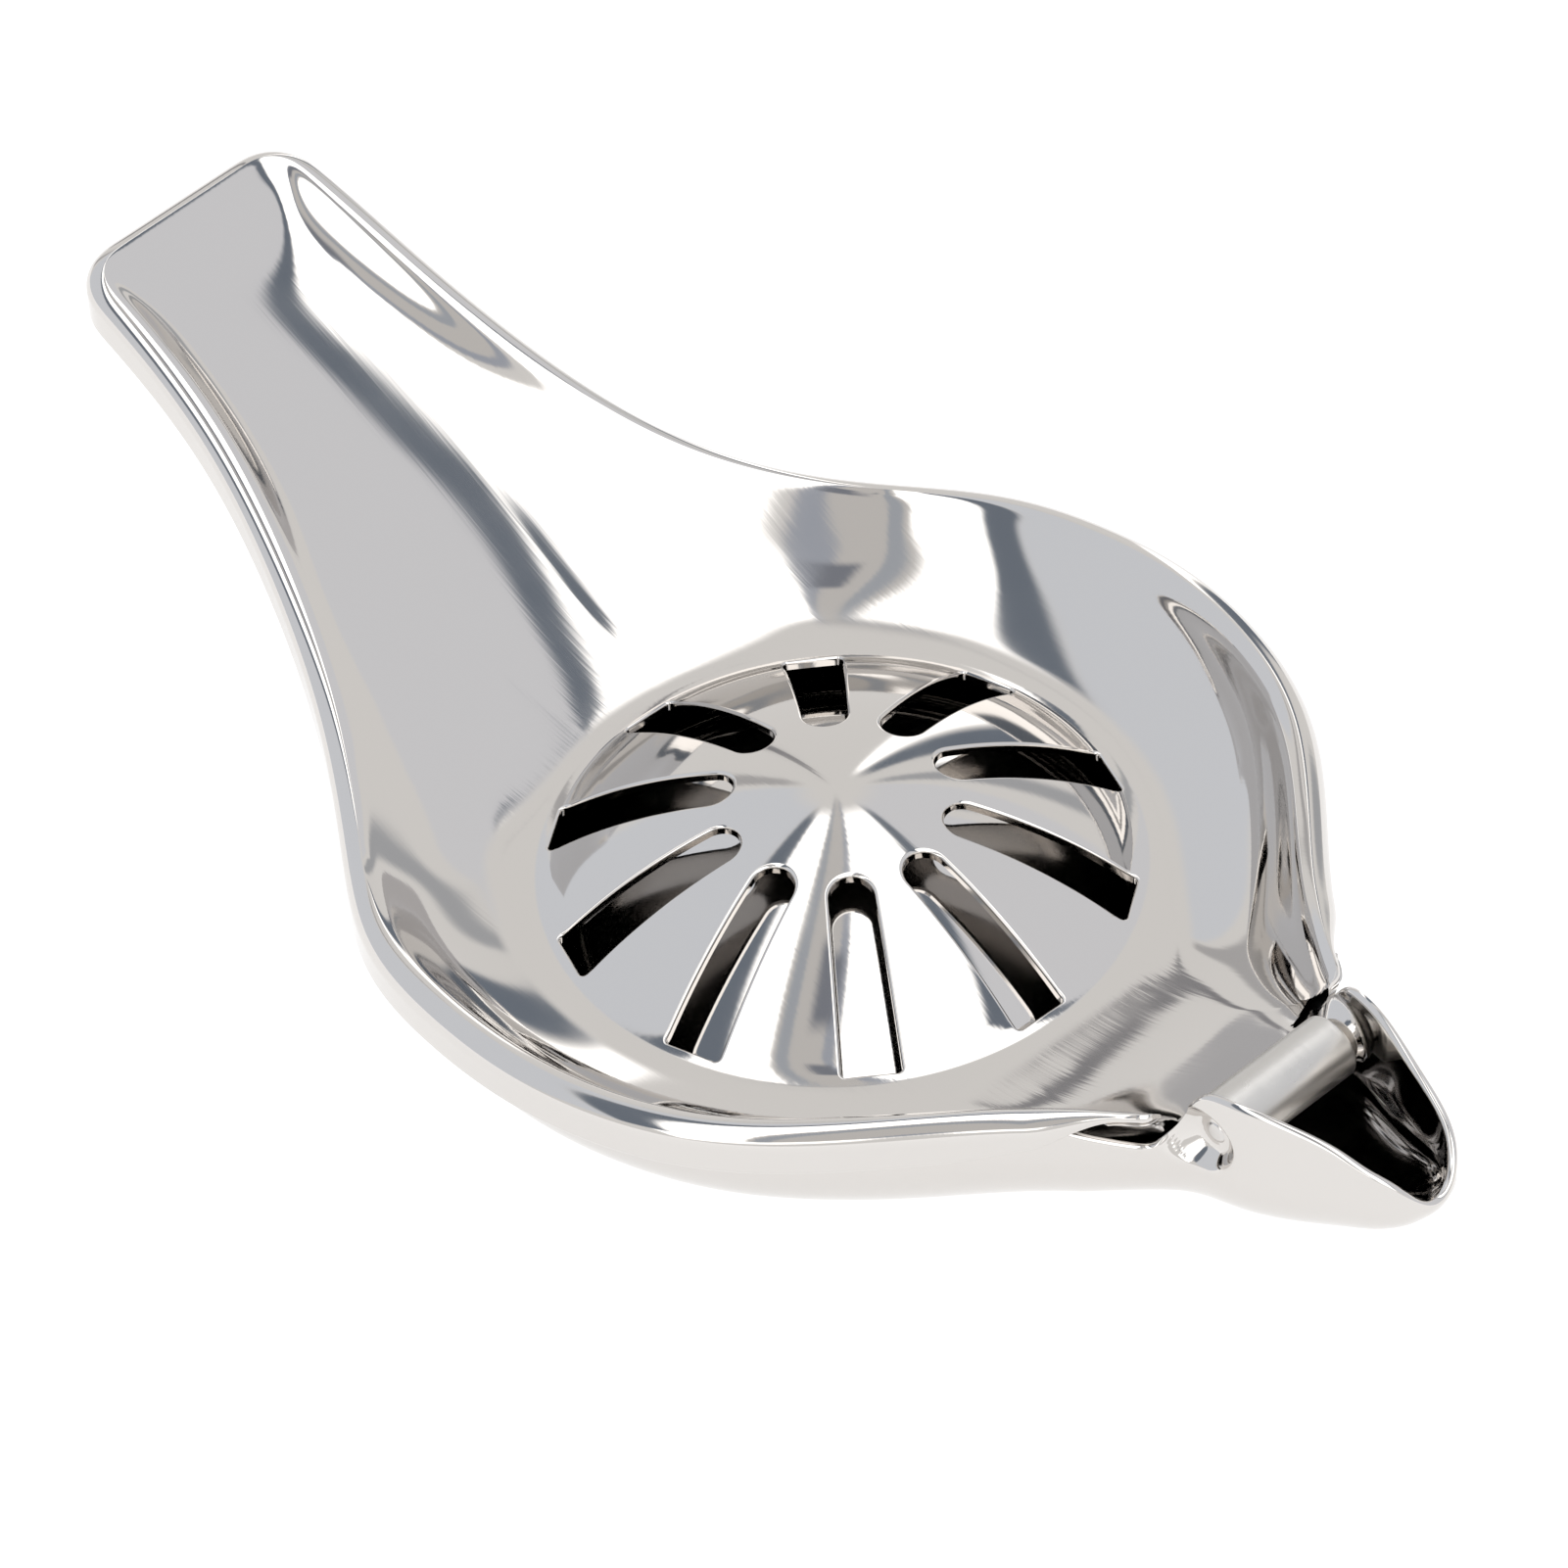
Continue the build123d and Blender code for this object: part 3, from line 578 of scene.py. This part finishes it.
def dome_mesh(B):
    so, sn = slot_outline()
    ring = np.concatenate([up_g[-1, :, :2], (up_g[-1, 1:-1, :2] * [1, -1])[::-1]])
    verts = [tuple(p) for p in ring]
    edges = [(i, (i + 1) % len(ring)) for i in range(len(ring))]
    offs = [0.0, 0.03, 0.09, 0.18, 0.30]
    loops, ids = [], []
    for i in range(slot_count):
        a = math.radians(slot_phase + i * 360 / slot_count)
        rot = np.array([[math.cos(a), -math.sin(a)], [math.sin(a), math.cos(a)]])
        p, n = so @ rot.T, sn @ rot.T
        loops.append((p, n))
        base = len(verts)
        verts += [tuple(q) for q in p + n * offs[-1]]
        edges += [(base + k, base + (k + 1) % len(p)) for k in range(len(p))]
    # free points
    for r in np.arange(0.9, 24.9, 0.75):
        m = max(6, int(2 * math.pi * r / 0.8))
        for k in range(m):
            t = 2 * math.pi * (k + 0.5 * (int(r / 0.75) % 2)) / m
            x, y = r * math.cos(t), r * math.sin(t)
            tt = (math.degrees(t) - slot_phase + 18) % 36 - 18
            lx, ly = r * math.cos(math.radians(tt)), abs(r * math.sin(math.radians(tt)))
            w = np.interp(lx, [slot_inner + 1.85, slot_outer], [1.85, 2.45]) + 0.55
            if slot_inner - 0.55 < lx < slot_outer + 0.55 and ly < w:
                continue
            verts.append((x, y))
    verts.append((0.0, 0.0))
    res = delaunay_2d_cdt([Vector(v) for v in verts], edges, [], 0, 1e-7)
    cv = np.array([tuple(v) for v in res[0]])
    cf = np.array([list(f) for f in res[2] if len(f) == 3])
    cen = cv[cf].mean(1)
    r = np.hypot(cen[:, 0], cen[:, 1])
    t = (np.degrees(np.arctan2(cen[:, 1], cen[:, 0])) - slot_phase + 18) % 36 - 18
    lx, ly = r * np.cos(np.radians(t)), r * np.sin(np.radians(t))
    poly = so + sn * (offs[-1] - 0.004)
    inside = np.zeros(len(lx), bool)
    for k in range(len(poly)):
        x1, y1 = poly[k]
        x2, y2 = poly[(k + 1) % len(poly)]
        hit = ((y1 > ly) != (y2 > ly)) & (lx < (x2 - x1) * (ly - y1) / (y2 - y1 + 1e-15) + x1)
        inside ^= hit
    cf = cf[~inside & (r < ring_radius)]
    a = cv[cf]
    area = np.cross(a[:, 1] - a[:, 0], a[:, 2] - a[:, 0])
    cf[area < 0] = cf[area < 0][:, ::-1]
    rr = np.hypot(cv[:, 0], cv[:, 1])
    z, nr = dome_z(rr, dome_apex, 0.0)
    unit = cv / np.maximum(rr, 1e-9)[:, None]
    n = np.column_stack([unit * nr[:, None], np.sqrt(1 - nr ** 2)])
    # concave foot leans the same way as the cap
    B.tris(np.column_stack([cv, z]), n, cf, 0)
    zb = z - sheet / n[:, 2]
    B.tris(np.column_stack([cv, zb]), -n, cf[:, ::-1], 1)
    for p, m in loops:
        rows, nrm = [], []
        for o in offs[::-1]:
            q = p + m * o
            r = np.hypot(q[:, 0], q[:, 1])
            z, nr = dome_z(r, dome_apex, 0.0)
            k = (offs[-1] - o) / offs[-1]
            dz = offs[-1] * (1 - math.sqrt(max(1 - k * k, 0)))
            nd = np.column_stack([q / r[:, None] * nr[:, None], np.sqrt(1 - nr ** 2)])
            al = math.asin(min(k, 1.0))
            nn = nd * math.cos(al) - np.column_stack([m, np.zeros(len(m))]) * math.sin(al)
            nn /= np.linalg.norm(nn, axis=1, keepdims=True)
            rows.append(np.column_stack([q, z - dz]))
            nrm.append(nn)
        r = np.hypot(p[:, 0], p[:, 1])
        z, nr = dome_z(r, dome_apex, 0.0)
        zb = z - sheet / np.sqrt(1 - nr ** 2)
        rows.append(np.column_stack([p, zb]))
        nrm.append(-np.column_stack([m, np.zeros(len(m))]))
        B.grid(np.array(rows), np.array(nrm), flip=True, both=False, closed=True)
        q = p + m * offs[-1]
        r = np.hypot(q[:, 0], q[:, 1])
        z2, nr2 = dome_z(r, dome_apex, 0.0)
        low = np.array([np.column_stack([p, zb]), np.column_stack([q, z2 - sheet / np.sqrt(1 - nr2 ** 2)])])
        B.grid(low, np.array([[[0, 0, -1]] * len(p)] * 2, float), flip=True, both=False, closed=True, mat=1)


dome_mesh(B)

# lower shell ---------------------------------------------------------------
L = Builder()
lo_rows, li_rows = [], []
for a in np.radians(np.arange(0, 91, 15)):
    lo_rows.append((-0.4 + 0.4 * math.sin(a), 0.4 * (1 - math.cos(a))))
    li_rows.append((-0.4 - 0.4 * math.sin(a), 0.4 * (1 - math.cos(a))))
n_lip = len(lo_rows)
for f in np.linspace(0, 1, 34)[1:]:
    lo_rows.append((0.0, (lambda x, z, f=f: 0.4 + f * np.maximum(wall_straight(x, z) - 0.4, 0.05))))
u = np.linspace(0, 1, 90)[1:]
inward = u * (0.12 + 0.88 * u)
s_lo = stations(lower_line, 0.6, 1.2)
lo_g, lo_th = skin(lower_line, lo_rows,
                   lambda x, y: blurred(under_lower, x, y, lower_line, 1.0), inward, bowl_base, s_lo, False)
lo_n = -grid_normals(lo_g)
li_g = lo_g - lo_n * sheet
x0, y0, z0, nx, ny = [at(lower_line[q], s_lo) for q in range(5)]
m = np.hypot(nx, ny)
for k, (o, v) in enumerate(li_rows):
    li_g[k] = np.stack([x0 - o * nx / m, y0 - o * ny / m, z0 - v], 1)
li_g[:, [0, -1], 1] = 0


def dimple(g, back):
    """Conical dimple pressed into each cheek round the pin."""
    r = np.hypot(g[..., 0] - hinge_x, g[..., 2] - hinge_z)
    cone = 7.0 + (np.logaddexp(0, (r - 1.75) * 9) / 9) / 1.08 - back
    y = g[..., 1]
    k = 0.12
    soft = -k * np.logaddexp(-y / k, -cone / k)
    hit = (r < 4.2) & (y > 5.0)
    w = np.clip((4.2 - r) / 0.8, 0, 1)
    g[..., 1] = np.where(hit, y + (soft - y) * w, y)


dimple(lo_g, 0.0)
dimple(li_g, sheet)
lo_n = -grid_normals(lo_g)
li_n = grid_normals(li_g)
L.grid(lo_g, lo_n, flip=True, mat=1)
L.grid(li_g, li_n, mat=0)
for top, sgn in ((lower_dome_apex, 1), (lower_dome_apex - sheet, -1)):
    base = bowl_base + sheet if sgn > 0 else bowl_base
    th = np.concatenate([lo_th, -lo_th[1:-1][::-1]])
    rs = np.r_[np.linspace(ring_radius, 20, 24), np.linspace(19.5, 0.2, 40)]
    z, nr = dome_z(rs, top, base)
    g = np.array([[(r * math.cos(t), r * math.sin(t), zz) for t in th] for r, zz in zip(rs, z)])
    n = np.array([[(q * math.cos(t) * sgn, q * math.sin(t) * sgn, sgn * math.sqrt(1 - q * q)) for t in th] for q in nr])
    L.grid(g, n, flip=(sgn < 0), both=False, closed=True, mat=0 if sgn > 0 else 1)

# ---------------------------------------------------------------- materials


def metal(name, colour, rough, scratch=0.0, brush=None):
    m = bpy.data.materials.new(name)
    m.use_nodes = True
    nt = m.node_tree
    b = nt.nodes["Principled BSDF"]
    b.inputs["Base Color"].default_value = (*colour, 1)
    b.inputs["Metallic"].default_value = 1.0
    b.inputs["Roughness"].default_value = rough
    tc = nt.nodes.new("ShaderNodeTexCoord")
    if scratch:
        # hairlines left by polishing, in two crossing directions, and a faint haze
        last = None
        for k, (rot, sc) in enumerate((((0, 0, 0.5), (60, 2600, 60)), ((0, 0, -1.0), (90, 3400, 90)))):
            mp = nt.nodes.new("ShaderNodeMapping")
            mp.inputs["Rotation"].default_value = rot
            mp.inputs["Scale"].default_value = sc
            nt.links.new(tc.outputs["Object"], mp.inputs["Vector"])
            nz = nt.nodes.new("ShaderNodeTexNoise")
            nz.inputs["Scale"].default_value = 1.0
            nz.inputs["Detail"].default_value = 2.0
            nt.links.new(mp.outputs["Vector"], nz.inputs["Vector"])
            bp = nt.nodes.new("ShaderNodeBump")
            bp.inputs["Strength"].default_value = scratch
            bp.inputs["Distance"].default_value = 0.00002
            nt.links.new(nz.outputs["Fac"], bp.inputs["Height"])
            if last:
                nt.links.new(last.outputs["Normal"], bp.inputs["Normal"])
            last = bp
        nt.links.new(last.outputs["Normal"], b.inputs["Normal"])
        nz = nt.nodes.new("ShaderNodeTexNoise")
        nz.inputs["Scale"].default_value = 140.0
        nz.inputs["Detail"].default_value = 3.0
        nt.links.new(tc.outputs["Object"], nz.inputs["Vector"])
        mr = nt.nodes.new("ShaderNodeMapRange")
        mr.inputs["From Min"].default_value = 0.3
        mr.inputs["From Max"].default_value = 0.7
        mr.inputs["To Min"].default_value = rough * 0.75
        mr.inputs["To Max"].default_value = rough * 1.3
        nt.links.new(nz.outputs["Fac"], mr.inputs["Value"])
        nt.links.new(mr.outputs["Result"], b.inputs["Roughness"])
    return m


polished = metal("polished_steel", (0.64, 0.615, 0.59), 0.055, 0.05)
under = metal("under_steel", (0.60, 0.58, 0.56), 0.16, 0.05)
satin = metal("satin_steel", (0.62, 0.60, 0.57), 0.34, 0.3)
pin_mat = metal("pin_steel", (0.62, 0.60, 0.58), 0.22, 0.2)

upper = B.make("upper_shell_skin", "upper", ["upper_shell"], [polished, under], notch_depth)
lower = L.make("lower_shell_skin", "lower", ["lower_shell"], [polished, polished])
for node, mat in (("hinge_barrel", satin), ("hinge_pin", pin_mat)):
    me = frame["nodes"][node].data
    me.materials.clear()
    me.materials.append(mat)

# -------------------------------------------------------------- floor, light
bpy.ops.mesh.primitive_plane_add(size=6.0, location=(0, 0, -0.0001))
floor = bpy.context.object
floor.name = "floor"
fm = bpy.data.materials.new("floor_white")
fm.use_nodes = True
fb = fm.node_tree.nodes["Principled BSDF"]
fb.inputs["Base Color"].default_value = (0.3, 0.3, 0.3, 1)
fb.inputs["Roughness"].default_value = 0.9
fb.inputs["Emission Color"].default_value = (1, 1, 1, 1)
fb.inputs["Emission Strength"].default_value = 0.85
floor.data.materials.append(fm)


def unit(v):
    v = np.array(v, float)
    return v / np.linalg.norm(v)


def world():
    w = bpy.data.worlds.new("studio")
    bpy.context.scene.world = w
    w.use_nodes = True
    nt = w.node_tree
    nt.nodes.clear()
    out = nt.nodes.new("ShaderNodeOutputWorld")
    bg = nt.nodes.new("ShaderNodeBackground")
    nt.links.new(bg.outputs[0], out.inputs[0])
    tc = nt.nodes.new("ShaderNodeTexCoord")
    d = tc.outputs["Generated"]

    def dot(v):
        n = nt.nodes.new("ShaderNodeVectorMath")
        n.operation = "DOT_PRODUCT"
        nt.links.new(d, n.inputs[0])
        n.inputs[1].default_value = tuple(v)
        return n.outputs["Value"]

    def op(kind, a, b=None, c=None):
        n = nt.nodes.new("ShaderNodeMath")
        n.operation = kind
        for i, x in enumerate((a, b, c)):
            if x is None:
                continue
            if isinstance(x, (int, float)):
                n.inputs[i].default_value = x
            else:
                nt.links.new(x, n.inputs[i])
        return n.outputs[0]

    def ramp(x, lo, hi):
        n = nt.nodes.new("ShaderNodeMapRange")
        n.interpolation_type = "SMOOTHSTEP"
        nt.links.new(x, n.inputs["Value"])
        n.inputs["From Min"].default_value = lo
        n.inputs["From Max"].default_value = hi
        return n.outputs["Result"]

    def mix(base, colour, mask):
        n = nt.nodes.new("ShaderNodeMix")
        n.data_type = "RGBA"
        nt.links.new(mask, n.inputs["Factor"])
        if isinstance(base, tuple):
            n.inputs["A"].default_value = (*base, 1)
        else:
            nt.links.new(base, n.inputs["A"])
        n.inputs["B"].default_value = (*colour, 1)
        return n.outputs["Result"]

    # polar angles round the direction a level surface mirrors to the viewer's side
    pole = unit((-0.5352, 0.4722, 0.7004))
    e1 = unit(np.array([0, 0, 1.0]) - pole * pole[2])
    e2 = np.cross(pole, e1)
    turn_ = op("MULTIPLY", op("ARCTAN2", dot(e2), dot(e1)), 57.29578)
    tilt = op("MULTIPLY", op("ARCCOSINE", dot(pole)), 57.29578)

    def card(om, half, lo, hi, soft, skew=0.0, bend=0.0, soft_t=3.0):
        """Soft-edged card centred on turn angle om, from tilt lo to hi."""
        a = op("SUBTRACT", turn_, om)
        if skew:
            a = op("SUBTRACT", a, op("MULTIPLY", op("SUBTRACT", tilt, 15.0), skew))
        a = op("WRAP", a, 180.0, -180.0)
        m = ramp(op("ABSOLUTE", a), half + soft, half - soft)
        if lo > 0:
            m = op("MULTIPLY", m, ramp(tilt, lo - soft_t, lo + soft_t))
        if hi < 180:
            m = op("MULTIPLY", m, ramp(tilt, hi + soft_t, hi - soft_t))
        return m

    col = (0.92, 0.915, 0.91)
    for spec in CARDS:
        args, c = spec
        col = mix(col, c, card(*args))
    nt.links.new(col, bg.inputs["Color"])
    bg.inputs["Strength"].default_value = 1.0


WHITE = (2.3, 2.3, 2.3)
DARK = (0.20, 0.235, 0.29)
CARDS = [
    # turn, half width, tilt from, to, edge softness, skew
    ((-76, 38, 6, 100, 3.0, -0.15), (0.84, 0.88, 0.95)),          # grey card
    ((72, 34, 6, 100, 2.0), (0.86, 0.88, 0.93)),                  # grey card
    ((16, 20, 8, 120, 1.0), WHITE),                               # large softbox
    ((-15, 16, 8, 120, 1.0, -0.16), WHITE),
    ((-32.5, 5.2, 8, 100, 1.4, -0.16), DARK),                     # dark edges beside it
    ((38.2, 3.2, 8, 100, 1.5), DARK),
    ((-2.2, 8.2, 3, 110, 0.7, -0.19), (0.72, 0.71, 0.70)),        # gap in the softbox
    ((-7.4, 1.6, 3, 110, 0.6, -0.19), (0.48, 0.52, 0.58)),
    ((4.4, 1.5, 3, 110, 0.6, -0.19), (0.46, 0.50, 0.58)),
    ((1.5, 3.0, 44, 66, 1.5, -0.19), (0.26, 0.28, 0.33)),
    ((141, 5.0, 8, 70, 1.5, 0.2), DARK),
    ((152, 4.0, 8, 70, 1.5, 0.2), WHITE),
    ((116, 4.0, 8, 60, 2.0, 0.2), (0.5, 0.52, 0.55)),
    ((-125, 5.0, 8, 70, 2.0, -0.3), (0.55, 0.55, 0.56)),
    ((-156, 1.6, 4, 60, 0.8), (0.3, 0.3, 0.32)),
]
world()

# ------------------------------------------------------------------- camera
cam_data = bpy.data.cameras.new("camera")
cam = bpy.data.objects.new("camera", cam_data)
bpy.context.scene.collection.objects.link(cam)
cam_data.sensor_width = 36.0
cam_data.lens = 11192.0 / 1601.0 * 36.0
cam_data.clip_start, cam_data.clip_end = 0.05, 20.0
right = unit((0.6953389524692533, 0.7170840018289082, -0.04783))
fwd = unit((-0.5351784199348695, 0.4722205404638986, -0.7004))
right = unit(right - fwd * right.dot(fwd))
up = np.cross(right, fwd)
loc = np.array([472.61633677312017, -417.53341413798836, 629.09]) / 1000.0
cam.matrix_world = Matrix(((right[0], up[0], -fwd[0], loc[0]), (right[1], up[1], -fwd[1], loc[1]),
                           (right[2], up[2], -fwd[2], loc[2]), (0, 0, 0, 1)))
bpy.context.scene.camera = cam
bpy.context.scene.view_settings.view_transform = "Standard"
